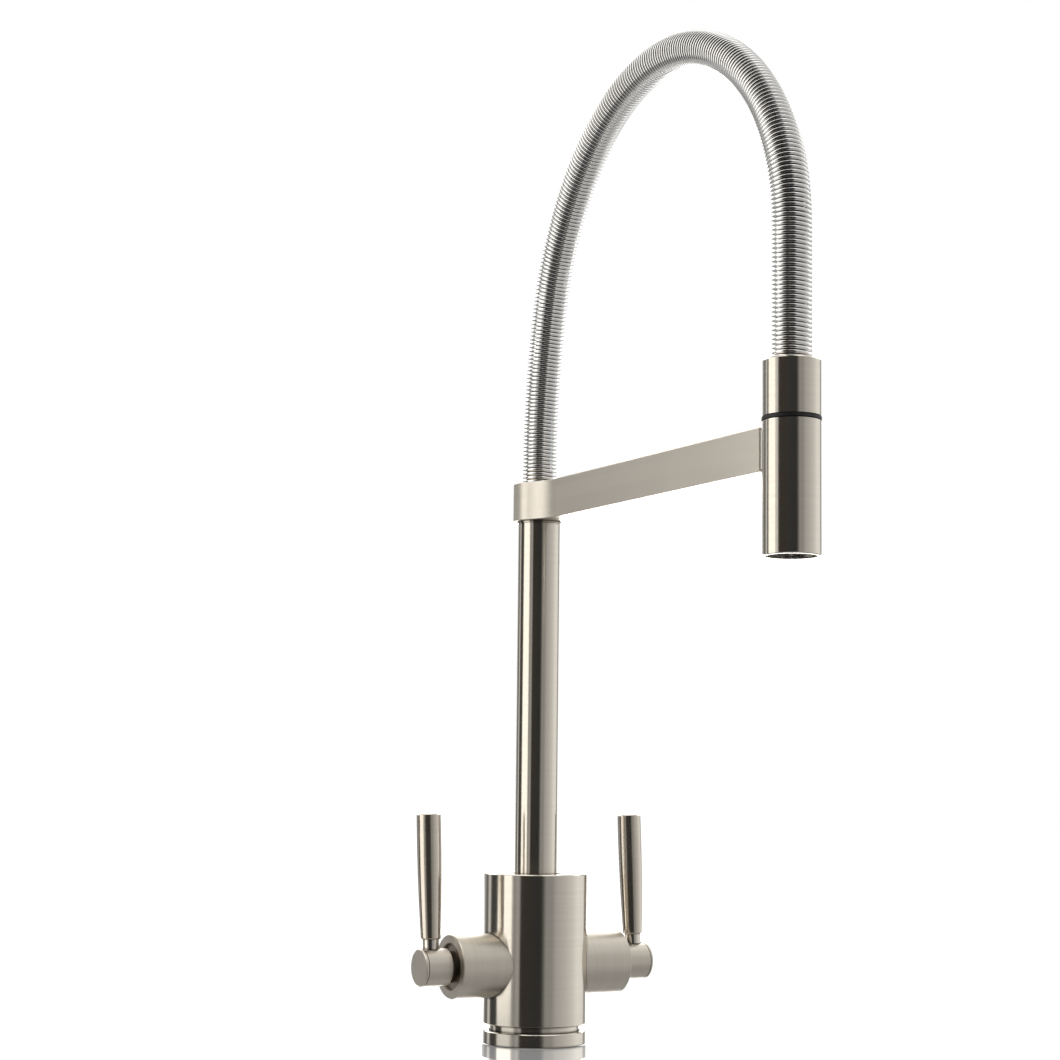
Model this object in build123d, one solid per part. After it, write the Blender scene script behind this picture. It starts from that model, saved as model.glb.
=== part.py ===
"""Twin-lever sink mixer with a spring-covered hose and a docked spray head.

Millimetres, +Z up. The origin is on the deck, on the axis of the body. The two
levers turn about the X axis of the valves, with hot on -X and cold on +X, and the
spout reaches towards -Y.
"""

import math
import os

from build123d import *

# ---------------------------------------------------------------- base and body
body_radius = 27.0
body_top = 87.0
base_ring_height = 6.9
groove_height = 3.4
groove_depth = 3.5
neck_depth_in_ring = 4.0
ring_bore_radius = 20.0
gasket_height = 1.5
gasket_inner_radius = 21.2
gasket_outer_radius = 25.2
edge_break = 0.4
fit = 0.05                  # radial clearance of pieces that seat or turn in each other
assembly_gap = 0.02         # axial gap of faces that slide on each other

# inlets in the underside
inlet_offset = 8.5
inlet_radius = 4.5          # M10 x 1, minor radius
inlet_depth = 12.0
channel_radius = 2.5
stud_hole_radius = 3.4      # M8, minor radius
stud_hole_depth = 14.0
stud_hole_offset = 14.0     # the two stud holes lie on the Y axis

# ---------------------------------------------------------------- side valves
lever_axis_height = 40.3
boss_radius = 16.3
boss_end = 49.3             # from the body axis
boss_bore_radius = 12.0
boss_seam = 0.35            # chamfer of the boss where it meets the body
seat_depth = 14.0           # from the body axis to the floor of the valve seat
port_offset = 4.1           # of the two ports from the valve axis
port_radius = 2.4
seal_thickness = 1.2
cartridge_radius = 11.0
cartridge_end = 46.0
disc_radius = 9.0
fixed_disc_thickness = 3.0
moving_disc_thickness = 2.5
carrier_thickness = 3.6
shaft_radius = 5.0
drive_radius = 4.0          # the part of the spindle that the hub slides on
seal_section = 2.0
gland_neck_radius = 8.0
gland_flange = 1.4
seal_setback = 6.0          # from the disc carrier to the O-ring on the shaft
slot_depth = 1.2            # of the slot in the moving disc

# ---------------------------------------------------------------- levers
hub_radius = 9.45
hub_start = 51.7
hub_end = 66.8
cap_thickness = 1.3
cap_chamfer = 0.5
cap_spigot_radius = 6.0
shadow_gap = 0.4
lever_offset = 59.9         # from the body axis to the lever axis
lever_lean = 3.9            # degrees, away from the spout
stud_neck_radius = 4.1
stud_thread_radius = 3.0
spot_face_height = 9.0      # above the valve axis
grip_start = 14.0
grip_length = 63.7
grip_bottom_radius = 5.1
grip_middle_radius = 6.1
grip_top_radius = 6.2
grip_foot_chamfer = 0.6
grip_thread_length = 10.0
grip_crown = 0.7
grub_radius = 2.0
socket_depth = 2.0

# ---------------------------------------------------------------- riser and arm
riser_radius = 11.0
riser_wall = 1.5
riser_socket_floor = 52.0
thrust_ring_height = 2.0
riser_bore_radius = 12.0
bush_radius = 13.0
bush_length = 22.0
bush_recess = 1.0           # the bush sits this far below the top of the body
arm_top = 290.7
arm_height = 19.8
collar_radius = 13.7
arm_thickness = 10.0
arm_fillet = 34.0
arm_reach = 225.0           # riser axis to spray head axis
dock_standoff = 4.8          # spray head to the end face of the arm
washer_thickness = 1.0
washer_rim = 0.5
collar_lip = 6.2            # height of the collar above the end of the riser

# ---------------------------------------------------------------- hose and spring
spring_radius = 8.9
spring_wire = 1.6
hose_radius = 5.5
hose_bore_radius = 4.0
spring_pocket_gap = 0.35
seat_washer = 1.4
barb_length = 14.0
barb_wall = 1.2
nipple_plug_length = 12.0
ferrule_gap = 0.4           # between the spring and a ferrule
# the arch from the riser to the head: (radius share, turn in degrees), tangent arcs
arch_lead = 7.8
arch = ((392.7, 13.0), (142.1, 35.5), (100.8, 65.6), (107.5, 65.9))

# ---------------------------------------------------------------- spray head
head_radius = 12.9
head_wall = 1.5
head_rise = 0.7             # top of the head above the top of the arm
head_length = 59.4
slip_ring_height = 1.4
slip_ring_proud = 0.2
sleeve_height = 25.4
sleeve_pocket = 14.0
sleeve_chamfer = 0.8
coupling_radius = 7.0
swivel_radius = 6.0
head_plug_height = 5.0
keeper_radius = 5.0
keeper_depth = 4.2
clip_thickness = 1.2
clip_groove_depth = 0.8
clip_proud = 1.6
shaft_tail = 1.8            # of the swivel shaft below its clip
valve_pocket_depth = 8.0
chamber_wall = 4.0
chamber_height = 6.0
waterway_top_gap = 1.0
aerator_recess = 1.4
aerator_height = 9.0
aerator_wall = 2.6
aerator_teeth = 9
tooth_gap = 2.6
tooth_depth = 1.9           # radial, less than the wall of the aerator
tooth_height = 1.2
screen_holes = 5            # across the outlet screen
magnet_radius = 3.8
magnet_length = 4.0
dock_seat_thickness = 8.0
dock_seat_margin = 1.2      # how much lower than the arm, at its top and bottom
dock_gap = 0.3

# worked out
body_bottom = base_ring_height - neck_depth_in_ring
groove_top = base_ring_height + groove_height
arm_bottom = arm_top - arm_height
riser_bottom = riser_socket_floor + thrust_ring_height
riser_top = arm_top - collar_lip
spring_inner = spring_radius - spring_wire
arm_end = -(arm_reach - head_radius - dock_standoff)
head_top = arm_top + head_rise
head_bottom = head_top - head_length
sleeve_bottom = head_top + slip_ring_height
sleeve_top = sleeve_bottom + sleeve_height
sleeve_floor = sleeve_top - sleeve_pocket


# ---------------------------------------------------------------- building blocks
def rod(radius, low, high):
    """A cylinder on Z between two heights."""
    on_base = (Align.CENTER, Align.CENTER, Align.MIN)
    return Pos(0, 0, low) * Cylinder(radius, high - low, align=on_base)


def ring(outer, inner, low, high):
    """A tube on Z between two heights."""
    return rod(outer, low, high) - rod(inner, low - 1, high + 1)


def turned(*points):
    """A solid turned about Z from its (radius, height) outline."""
    outline = Polyline(*points, close=True)
    return revolve(Plane.XZ * make_face(outline), Axis.Z)


def along_x(shape, side):
    """Lays a piece that was built on Z along the valve axis, outwards to one side."""
    return Pos(0, 0, lever_axis_height) * Rot(0, 90 * side, 0) * shape


def upright_on_hub(shape, side):
    """Stands a piece that was built on Z on a lever hub, with the lean of the lever."""
    return Pos(side * lever_offset, 0, lever_axis_height) * Rot(-lever_lean, 0, 0) * shape


def save(shape, name):
    """Writes one node."""
    export_step(shape, f"parts/{name}.step")


# ---------------------------------------------------------------- body
def body_shell():
    """The turned body with its valve seats, water channels and riser socket."""
    neck_radius = body_radius - groove_depth
    solid = turned(
        (0, body_bottom), (neck_radius, body_bottom), (neck_radius, groove_top),
        (body_radius - edge_break, groove_top), (body_radius, groove_top + edge_break),
        (body_radius, body_top - edge_break), (body_radius - edge_break, body_top),
        (0, body_top))
    solid -= rod(riser_bore_radius, riser_socket_floor, body_top + 1)
    bush_floor = body_top - bush_recess - bush_length
    solid -= rod(bush_radius + fit, bush_floor, body_top + 1)
    low_port = lever_axis_height - port_offset
    high_port = lever_axis_height + port_offset
    for side in (-1, 1):
        solid -= along_x(rod(cartridge_radius + fit, seat_depth, body_radius + 1), side)
        at_inlet = Pos(side * inlet_offset, 0, 0)
        solid -= at_inlet * rod(inlet_radius, body_bottom - 1, body_bottom + inlet_depth)
        solid -= at_inlet * rod(channel_radius, body_bottom, low_port)
        solid -= at_inlet * rod(channel_radius, high_port, riser_socket_floor + 1)
        for height in (low_port, high_port):
            cross = rod(channel_radius, inlet_offset, seat_depth + 1)
            solid -= Pos(0, 0, height) * Rot(0, 90 * side, 0) * cross
        stud_hole = rod(stud_hole_radius, body_bottom - 1, body_bottom + stud_hole_depth)
        solid -= Pos(0, side * stud_hole_offset, 0) * stud_hole
    return solid - bush_screw_shape(grub_radius + fit, body_radius + 1)


def bush_screw_shape(radius, end):
    """A radial rod at the back of the body that reaches the groove of the swivel bush."""
    height = body_top - bush_recess - bush_length / 2
    return Pos(0, 0, height) * Rot(-90, 0, 0) * rod(radius, bush_radius - 0.8, end)


def base_ring():
    """The ring that the body's neck drops into, with the gasket groove underneath."""
    outline = turned(
        (ring_bore_radius, 0), (body_radius - edge_break, 0), (body_radius, edge_break),
        (body_radius, base_ring_height - edge_break),
        (body_radius - edge_break, base_ring_height), (ring_bore_radius, base_ring_height))
    neck = rod(body_radius - groove_depth + fit, body_bottom, base_ring_height + 1)
    groove = ring(gasket_outer_radius + fit, gasket_inner_radius - fit, -1, gasket_height)
    return outline - neck - groove


def deck_gasket():
    return ring(gasket_outer_radius, gasket_inner_radius, 0, gasket_height)


def swivel_bush():
    """The flangeless bush that the riser turns in, with a groove for its screw."""
    low = body_top - bush_recess - bush_length
    bush = ring(bush_radius, riser_radius + fit, low, low + bush_length)
    return bush - bush_screw_shape(grub_radius + fit, bush_radius + 1)


def socket_in_screw(depth):
    """The hexagon socket of a grub screw, from its outer face inwards."""
    return extrude(RegularPolygon(grub_radius * 0.5, 6), depth)


def bush_screw():
    """The cup-point screw that holds the bush, with its socket at the back."""
    end = body_radius - 1.0
    screw = bush_screw_shape(grub_radius, end)
    height = body_top - bush_recess - bush_length / 2
    socket = Pos(0, end, height) * Rot(90, 0, 0) * socket_in_screw(socket_depth)
    return screw - socket


# ---------------------------------------------------------------- side valves
def boss(side):
    """The sleeve on the side of the body, cut to sit on the round of the body."""
    sleeve = turned(
        (boss_bore_radius, 0), (boss_radius, 0), (boss_radius, boss_end - edge_break),
        (boss_radius - edge_break, boss_end), (boss_bore_radius, boss_end))
    fitted = along_x(sleeve, side) - rod(body_radius + fit, 0, body_top)
    on_body = fitted.edges().sort_by(Axis.X)[0 if side > 0 else -1]
    return chamfer(on_body, boss_seam)


def ports(radius, low, high):
    """The two water ports through a valve piece, above and below its axis."""
    return [Pos(offset, 0, 0) * rod(radius, low - 1, high + 1)
            for offset in (-port_offset, port_offset)]


def seat_seal(side):
    low, high = seat_depth, seat_depth + seal_thickness
    return along_x(rod(cartridge_radius - 0.4, low, high) - ports(port_radius, low, high), side)


fixed_disc_start = seat_depth + seal_thickness
fixed_disc_end = fixed_disc_start + fixed_disc_thickness
moving_disc_start = fixed_disc_end + assembly_gap
moving_disc_end = moving_disc_start + moving_disc_thickness
carrier_end = moving_disc_end + carrier_thickness
spindle_seal_start = carrier_end + seal_setback
gland_face = hub_start - shadow_gap
hub_bore_end = lever_offset + 2.0


def fixed_disc(side):
    """The ceramic disc that stays still, with a port above and below the axis."""
    low, high = fixed_disc_start, fixed_disc_end
    return along_x(rod(disc_radius, low, high) - ports(port_radius, low, high), side)


def moving_disc(side):
    """The ceramic disc that turns, with a slot that joins the ports when it is open."""
    disc = rod(disc_radius - fit, moving_disc_start, moving_disc_end)
    slot = extrude(SlotCenterToCenter(2 * port_offset, 2 * port_radius), slot_depth)
    slot = Pos(0, 0, moving_disc_start) * Rot(0, 0, 90) * slot
    return along_x(disc - slot, side)


def cartridge_housing(side):
    """The brass barrel that holds the discs and guides the spindle."""
    barrel = turned(
        (disc_radius + fit, fixed_disc_start), (cartridge_radius, fixed_disc_start),
        (cartridge_radius, cartridge_end), (shaft_radius, cartridge_end),
        (shaft_radius, carrier_end + assembly_gap), (disc_radius + fit, carrier_end + assembly_gap))
    return along_x(barrel, side)


def spindle(side):
    """The disc carrier and its shaft, with an O-ring groove and the drive for the hub."""
    groove_radius = shaft_radius - fit - seal_section / 2
    shaft = shaft_radius - fit
    seal_end = spindle_seal_start + seal_section
    return along_x(turned(
        (0, moving_disc_end), (disc_radius - fit, moving_disc_end),
        (disc_radius - fit, carrier_end), (shaft, carrier_end),
        (shaft, spindle_seal_start), (groove_radius, spindle_seal_start),
        (groove_radius, seal_end), (shaft, seal_end), (shaft, cartridge_end),
        (drive_radius, cartridge_end), (drive_radius, hub_bore_end),
        (0, hub_bore_end)), side)


def spindle_seal(side):
    inner = shaft_radius - fit - seal_section / 2
    end = spindle_seal_start + seal_section
    return along_x(ring(shaft_radius - fit, inner, spindle_seal_start, end), side)


def gland_nut(side):
    """The nut in the boss that clamps the cartridge, with the neck behind the hub."""
    flange_end = cartridge_end + gland_flange
    return along_x(turned(
        (drive_radius + 1.0, cartridge_end), (boss_bore_radius - fit, cartridge_end),
        (boss_bore_radius - fit, flange_end), (gland_neck_radius, flange_end),
        (gland_neck_radius, gland_face), (drive_radius + 1.0, gland_face)), side)


# ---------------------------------------------------------------- levers
cap_start = hub_end - cap_thickness - shadow_gap
spigot_start = lever_offset + stud_thread_radius + 0.6


def grub_in_hub(radius, low, high):
    """A rod up into the hub from underneath, clear of the lever's stud."""
    return Rot(180, 0, 0) * rod(radius, low, high)


def lever_hub(side):
    """The round block on the spindle that carries the lever."""
    block = along_x(turned(
        (0, hub_start), (hub_radius - edge_break, hub_start),
        (hub_radius, hub_start + edge_break), (hub_radius, cap_start),
        (cap_spigot_radius + fit, cap_start), (cap_spigot_radius + fit, spigot_start),
        (0, spigot_start)), side)
    block -= along_x(rod(drive_radius + fit, hub_start - 1, hub_bore_end + 1), side)
    stud_hole = rod(stud_thread_radius + fit, drive_radius, hub_radius + 1)
    spot_face = rod(stud_neck_radius + 0.5, spot_face_height, hub_radius + 1)
    grub_hole = grub_in_hub(grub_radius + fit, drive_radius - 1, hub_radius + 1)
    return block - [upright_on_hub(cut, side) for cut in (stud_hole, spot_face, grub_hole)]


def hub_cap(side):
    """The end disc of the hub, pressed in by its spigot behind a thin shadow gap."""
    disc_start = cap_start + shadow_gap
    return along_x(turned(
        (0, spigot_start + fit), (cap_spigot_radius, spigot_start + fit),
        (cap_spigot_radius, cap_start), (hub_radius - shadow_gap, cap_start),
        (hub_radius - shadow_gap, disc_start), (hub_radius, disc_start),
        (hub_radius, hub_end - cap_chamfer), (hub_radius - cap_chamfer, hub_end),
        (0, hub_end)), side)


def lever_stud(side):
    """The turned stud that screws into the hub below and the grip above."""
    return upright_on_hub(turned(
        (0, drive_radius + 1.0), (stud_thread_radius, drive_radius + 1.0),
        (stud_thread_radius, spot_face_height), (stud_neck_radius, spot_face_height),
        (stud_neck_radius, grip_start), (stud_thread_radius, grip_start),
        (stud_thread_radius, grip_start + grip_thread_length),
        (0, grip_start + grip_thread_length)), side)


def lever_grip(side):
    """The tapered grip, with a bowed flank, wider at its crowned top."""
    top = grip_start + grip_length
    foot = grip_start + grip_foot_chamfer
    rim = grip_top_radius - edge_break
    shoulder = top - grip_crown - edge_break
    crown_radius = (rim ** 2 + grip_crown ** 2) / (2 * grip_crown)
    half_turn = math.asin(rim / crown_radius) / 2
    crown = ThreePointArc(
        (rim, top - grip_crown),
        (crown_radius * math.sin(half_turn), top - crown_radius * (1 - math.cos(half_turn))),
        (0, top))
    flank = ThreePointArc(
        (grip_bottom_radius, foot), (grip_middle_radius, (foot + shoulder) / 2),
        (grip_top_radius, shoulder))
    base = Polyline(
        (0, top), (0, grip_start), (grip_bottom_radius - grip_foot_chamfer, grip_start),
        (grip_bottom_radius, foot))
    corner = Line((grip_top_radius, shoulder), (rim, top - grip_crown))
    grip = revolve(Plane.XZ * make_face([base, flank, corner, crown]), Axis.Z)
    thread = rod(stud_thread_radius + fit, 0, grip_start + grip_thread_length + shadow_gap)
    return upright_on_hub(grip - thread, side)


def grub_screw(side):
    """The cup-point screw under the hub that locks it on the spindle."""
    start, end = drive_radius + fit, hub_radius - 1.2
    screw = grub_in_hub(grub_radius, start, end)
    socket = Rot(180, 0, 0) * Pos(0, 0, end - socket_depth) * socket_in_screw(socket_depth)
    return upright_on_hub(screw - socket, side)


# ---------------------------------------------------------------- riser
clip_height = 1.4
clip_top = body_top - bush_recess - bush_length - assembly_gap
clip_bottom = clip_top - clip_height
riser_seal_heights = (clip_bottom - 3.2, clip_bottom - 6.4)


def riser_tube():
    """The upright tube, with grooves for its two O-rings and its clip."""
    tube = ring(riser_radius, riser_radius - riser_wall, riser_bottom, riser_top)
    groove = riser_radius - riser_wall / 2
    tube -= ring(riser_radius + 1, groove, clip_bottom, clip_top)
    for low in riser_seal_heights:
        tube -= ring(riser_radius + 1, groove, low, low + seal_section)
    return tube


def riser_seals():
    inner = riser_radius - riser_wall / 2
    outer = riser_bore_radius - fit
    return Compound(children=[
        ring(outer, inner, low, low + seal_section) for low in riser_seal_heights])


def riser_clip():
    """The open snap ring under the bush that keeps the riser from lifting out."""
    clip = ring(riser_bore_radius - fit, riser_radius - riser_wall / 2, clip_bottom, clip_top)
    opening = Pos(0, riser_radius, clip_bottom) * Box(4, 8, 3 * clip_height)
    return clip - opening


def thrust_ring():
    inner = riser_radius - riser_wall
    return ring(riser_bore_radius - fit, inner, riser_socket_floor, riser_bottom - assembly_gap)


def arm_washer():
    low = arm_bottom - washer_thickness
    return ring(riser_radius + washer_rim, riser_radius + fit, low, arm_bottom)


# ---------------------------------------------------------------- docking arm
def arm_plan():
    """The plan of the collar and arm: a disc that blends into a bar along -Y."""
    half = arm_thickness / 2
    centre_x = half + arm_fillet
    centre_y = -math.sqrt((collar_radius + arm_fillet) ** 2 - centre_x ** 2)
    share = collar_radius / (collar_radius + arm_fillet)
    on_collar = (centre_x * share, centre_y * share)
    swing = math.atan2(on_collar[1] - centre_y, on_collar[0] - centre_x)
    middle = (swing + math.pi) / 2
    on_blend = (centre_x + arm_fillet * math.cos(middle), centre_y + arm_fillet * math.sin(middle))
    return on_collar, on_blend, (half, centre_y), (half, arm_end)


def docking_arm():
    """The collar on the riser and the flat arm that reaches to the spray head."""
    on_collar, on_blend, on_bar, corner = arm_plan()

    def mirrored(point):
        return (-point[0], point[1])

    outline = make_face([
        ThreePointArc(on_collar, (0, collar_radius), mirrored(on_collar)),
        ThreePointArc(mirrored(on_collar), mirrored(on_blend), mirrored(on_bar)),
        Polyline(mirrored(on_bar), mirrored(corner), corner, on_bar),
        ThreePointArc(on_bar, on_blend, on_collar)])
    arm = Pos(0, 0, arm_bottom) * extrude(outline, arm_height)
    arm = chamfer(arm.faces().sort_by(Axis.Z)[-1].outer_wire().edges(), 0.3)
    arm = chamfer(arm.faces().sort_by(Axis.Z)[0].outer_wire().edges(), 0.3)
    arm -= rod(riser_radius + fit, arm_bottom - 1, riser_top)
    arm -= rod(spring_radius + spring_pocket_gap, riser_top - 1, arm_top + 1)
    arm -= dock_magnet_shape(fit)
    return arm - arm_screw_shape(grub_radius + fit, collar_radius + 1)


def arm_screw_shape(radius, end):
    """A radial rod at the back of the collar that bears on the riser."""
    height = arm_bottom + arm_height / 2
    return Pos(0, 0, height) * Rot(-90, 0, 0) * rod(radius, riser_radius + fit, end)


def arm_screw():
    end = collar_radius - 0.5
    height = arm_bottom + arm_height / 2
    socket = Pos(0, end, height) * Rot(90, 0, 0) * socket_in_screw(1.2)
    return arm_screw_shape(grub_radius, end) - socket


def dock_magnet_shape(clearance):
    """The round magnet in the end of the arm."""
    at_end = Pos(0, arm_end, arm_bottom + arm_height / 2) * Rot(-90, 0, 0)
    return at_end * rod(magnet_radius + clearance, -0.001, magnet_length + clearance)


def dock_magnet():
    at_end = Pos(0, arm_end, arm_bottom + arm_height / 2) * Rot(-90, 0, 0)
    return at_end * rod(magnet_radius, fit, magnet_length)


def dock_seat():
    """The pad on the end of the arm, hollowed to the round of the spray head."""
    low, high = arm_bottom + dock_seat_margin, arm_top - dock_seat_margin
    reach_in = dock_standoff + head_radius * 0.5
    block = Box(dock_seat_thickness, reach_in, high - low,
                align=(Align.CENTER, Align.MAX, Align.MIN))
    block = Pos(0, arm_end, low) * block
    at_head = Pos(0, -arm_reach, 0)
    return block - at_head * rod(head_radius + dock_gap, low - 1, high + 1)


# ---------------------------------------------------------------- hose and spring
spring_start = riser_top + seat_washer
hose_start = spring_start
spring_end = sleeve_floor + seat_washer


def arch_path(start, end):
    """The line of the hose: up out of the collar, over in tangent arcs, down to the head."""
    span = rise = heading = 0.0
    for radius, turn in arch:
        after = heading + math.radians(turn)
        span += radius * (math.cos(heading) - math.cos(after))
        heading = after
    scale = arm_reach / span
    point = (0.0, -0.0, arm_top + arch_lead)
    edges = [Line((0, 0, start), point)]
    heading = 0.0
    for radius, turn in arch:
        size = radius * scale
        angle = math.radians(turn)

        def step(part):
            across = size * (math.cos(heading) - math.cos(heading + part))
            up = size * (math.sin(heading + part) - math.sin(heading))
            return (0, point[1] - across, point[2] + up)

        middle, after = step(angle / 2), step(angle)
        edges.append(ThreePointArc(point, middle, after))
        point = after
        heading += angle
    edges.append(Line(point, (0, point[1], end)))
    return Wire(edges)


def swept(radius, start, end):
    """A round bar along the line of the hose."""
    section = Pos(0, 0, start) * Circle(radius)
    return sweep(section, path=arch_path(start, end))


def hose_spring():
    """The space that the coiled spring fills: a tube as thick as its wire."""
    return swept(spring_radius, spring_start, spring_end) - swept(
        spring_inner, spring_start, spring_end)


def inner_hose():
    return swept(hose_radius, hose_start, spring_end) - swept(
        hose_bore_radius + fit, hose_start, spring_end)


def spring_seat():
    """The washer at the foot of the spring."""
    return ring(spring_radius, hose_bore_radius + fit, riser_top, spring_start)


def hose_nipple():
    """The brass plug in the top of the riser with the barb that the hose grips."""
    inside = riser_radius - riser_wall - fit
    bore = hose_bore_radius - barb_wall
    low = riser_top - nipple_plug_length
    return turned(
        (bore, low), (inside, low), (inside, riser_top),
        (hose_bore_radius, riser_top), (hose_bore_radius, riser_top + barb_length),
        (bore, riser_top + barb_length))


def lower_ferrule():
    """The crimped sleeve that closes the hose on its barb."""
    low = hose_start + 2.0
    return ring(spring_inner - ferrule_gap, hose_radius + fit, low, low + barb_length - 4.0)


# ---------------------------------------------------------------- hose end
def at_head(shape):
    """Moves a piece that was built on the Z axis onto the axis of the spray head."""
    return Pos(0, -arm_reach, 0) * shape


def upper_sleeve():
    """The sleeve above the slip ring that the end of the spring goes into."""
    pocket = spring_radius + spring_pocket_gap
    return at_head(turned(
        (coupling_radius + fit, sleeve_bottom), (head_radius - edge_break, sleeve_bottom),
        (head_radius, sleeve_bottom + edge_break), (head_radius, sleeve_top - sleeve_chamfer),
        (head_radius - sleeve_chamfer, sleeve_top), (pocket, sleeve_top),
        (pocket, sleeve_floor), (coupling_radius + fit, sleeve_floor)))


clip_on_shaft = head_top - head_plug_height - assembly_gap
clip_underside = clip_on_shaft - clip_thickness
clip_groove_radius = swivel_radius - clip_groove_depth
shaft_end = clip_underside - shaft_tail


def hose_coupling():
    """The hollow brass shaft: a barb for the hose above, the swivel shaft below."""
    bore = hose_bore_radius - barb_wall
    barb_top = spring_end + barb_length - 2.0
    groove = clip_groove_radius
    return at_head(turned(
        (bore, shaft_end), (swivel_radius, shaft_end),
        (swivel_radius, clip_underside), (groove, clip_underside),
        (groove, clip_on_shaft), (swivel_radius, clip_on_shaft),
        (swivel_radius, sleeve_bottom), (coupling_radius, sleeve_bottom),
        (coupling_radius, spring_end - fit),
        (hose_bore_radius, spring_end - fit), (hose_bore_radius, barb_top), (bore, barb_top)))


def top_spring_seat():
    """The washer inside the sleeve that the end of the spring bears on."""
    return at_head(ring(spring_radius, coupling_radius + fit, sleeve_floor, spring_end - fit))


def upper_ferrule():
    low = spring_end + 1.5
    high = low + barb_length - 5.0
    return at_head(ring(spring_inner - ferrule_gap, hose_radius + fit, low, high))


def slip_ring():
    """The black ring between the sleeve and the head, a little proud of both."""
    return at_head(ring(head_radius + slip_ring_proud, swivel_radius + fit,
                        head_top + assembly_gap, sleeve_bottom))


def coupling_clip():
    """The open ring that holds the head on the swivel shaft."""
    clip = ring(swivel_radius + clip_proud, clip_groove_radius, clip_underside, clip_on_shaft)
    opening = Pos(0, swivel_radius, clip_on_shaft) * Box(3, 6, 4)
    return at_head(clip - opening)


# ---------------------------------------------------------------- spray head
head_inner = head_radius - head_wall
waterway_top = shaft_end - waterway_top_gap
aerator_bottom = head_bottom + aerator_recess
aerator_top = aerator_bottom + aerator_height
screen_low = aerator_bottom + tooth_height + 1.0
screen_thickness = 1.6
aerator_bore = head_inner - aerator_wall


def head_shell():
    """The drawn tube of the spray head."""
    return at_head(turned(
        (head_inner, head_bottom), (head_radius - edge_break, head_bottom),
        (head_radius, head_bottom + edge_break), (head_radius, head_top - edge_break),
        (head_radius - edge_break, head_top), (head_inner, head_top)))


def head_plug():
    """The brass plug that closes the top of the head and turns on the swivel shaft."""
    low = head_top - head_plug_height
    return at_head(ring(head_inner - fit, swivel_radius + fit, low, head_top))


def waterway():
    """The moulded core that carries the water down to the outlet."""
    core = rod(head_inner - fit, aerator_top, waterway_top)
    pocket_floor = waterway_top - valve_pocket_depth
    core -= rod(hose_bore_radius, aerator_top - 1, pocket_floor)
    core -= rod(head_inner - chamber_wall, aerator_top - 1, aerator_top + chamber_height)
    core -= rod(swivel_radius, pocket_floor, waterway_top + 1)
    core -= keeper_shape(fit)
    return at_head(core)


def keeper_shape(clearance):
    """The steel block in the back of the head that the dock magnet pulls on."""
    size = keeper_radius + clearance
    height = clip_underside - 0.5 - keeper_radius
    start = head_inner - keeper_depth - clearance
    block = Pos(0, 0, height) * Rot(-90, 0, 0) * rod(size, start, head_inner + 1)
    return block & rod(head_inner - fit, height - 2 * size, height + 2 * size)


def dock_keeper():
    return at_head(keeper_shape(0))


def check_valve():
    """The one-way valve in the top of the waterway."""
    top = waterway_top - 1.0
    low = waterway_top - valve_pocket_depth + fit
    body = ring(swivel_radius - fit, 3.4, low, top)
    poppet = rod(2.6, low, low + 2.5)
    bridge = Pos(0, 0, low + 0.6) * Box(2 * swivel_radius - 2, 1.2, 1.2)
    return at_head(body + poppet + bridge)


def aerator_housing():
    """The ring at the outlet, with a castellated lower rim."""
    ring_body = turned(
        (aerator_bore, aerator_bottom), (head_inner - fit, aerator_bottom),
        (head_inner - fit, aerator_top), (aerator_bore, aerator_top))
    notch = Pos(head_inner, 0, aerator_bottom) * Box(2 * tooth_depth, tooth_gap, 2 * tooth_height)
    for tooth in range(aerator_teeth):
        ring_body -= Rot(0, 0, 360 / aerator_teeth * tooth) * notch
    return at_head(ring_body)


def aerator_screen():
    """The outlet screen, with a grid of square holes."""
    radius = aerator_bore - fit
    pitch = 2 * radius / (screen_holes + 1)
    disc = rod(radius, screen_low, screen_low + screen_thickness)
    hole = Box(pitch * 0.6, pitch * 0.6, 3 * screen_thickness)
    middle = (screen_holes - 1) / 2
    for column in range(screen_holes):
        for row in range(screen_holes):
            x, y = (column - middle) * pitch, (row - middle) * pitch
            if math.hypot(x, y) + pitch * 0.45 < radius:
                disc -= Pos(x, y, screen_low) * hole
    return at_head(disc)


def flow_straightener():
    """The stack of rings above the screen that smooths the water."""
    low, high = screen_low + screen_thickness, aerator_top - 0.2
    rings = [ring(radius, radius - 0.8, low, high) for radius in (aerator_bore - fit, 5.4, 2.8)]
    spokes = [Rot(0, 0, turn) * Pos(0, 0, (low + high) / 2)
              * Box(2 * (aerator_bore - 0.4), 0.7, high - low) for turn in (0, 60, 120)]
    return at_head(rings[0] + rings[1:] + spokes)


# ---------------------------------------------------------------- all nodes
os.makedirs("parts", exist_ok=True)

for maker in (body_shell, base_ring, deck_gasket, swivel_bush, bush_screw,
              riser_tube, riser_seals, riser_clip, thrust_ring, arm_washer,
              docking_arm, arm_screw, dock_magnet, dock_seat,
              hose_spring, inner_hose, spring_seat, hose_nipple, lower_ferrule,
              upper_sleeve, hose_coupling, top_spring_seat, upper_ferrule,
              slip_ring, coupling_clip, head_shell, head_plug, waterway,
              dock_keeper, check_valve, aerator_housing, aerator_screen,
              flow_straightener):
    save(maker(), maker.__name__)

for side_name, side in (("hot", -1), ("cold", 1)):
    for maker in (boss, seat_seal, fixed_disc, moving_disc, cartridge_housing,
                  spindle, spindle_seal, gland_nut, lever_hub, hub_cap,
                  lever_stud, lever_grip, grub_screw):
        save(maker(side), f"{side_name}_{maker.__name__}")
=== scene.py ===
"""Twin-lever sink mixer in brushed nickel, with a spring-covered hose and a docked spray head."""

import math

import bpy
import numpy as np
from mathutils import Matrix, Vector


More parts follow.
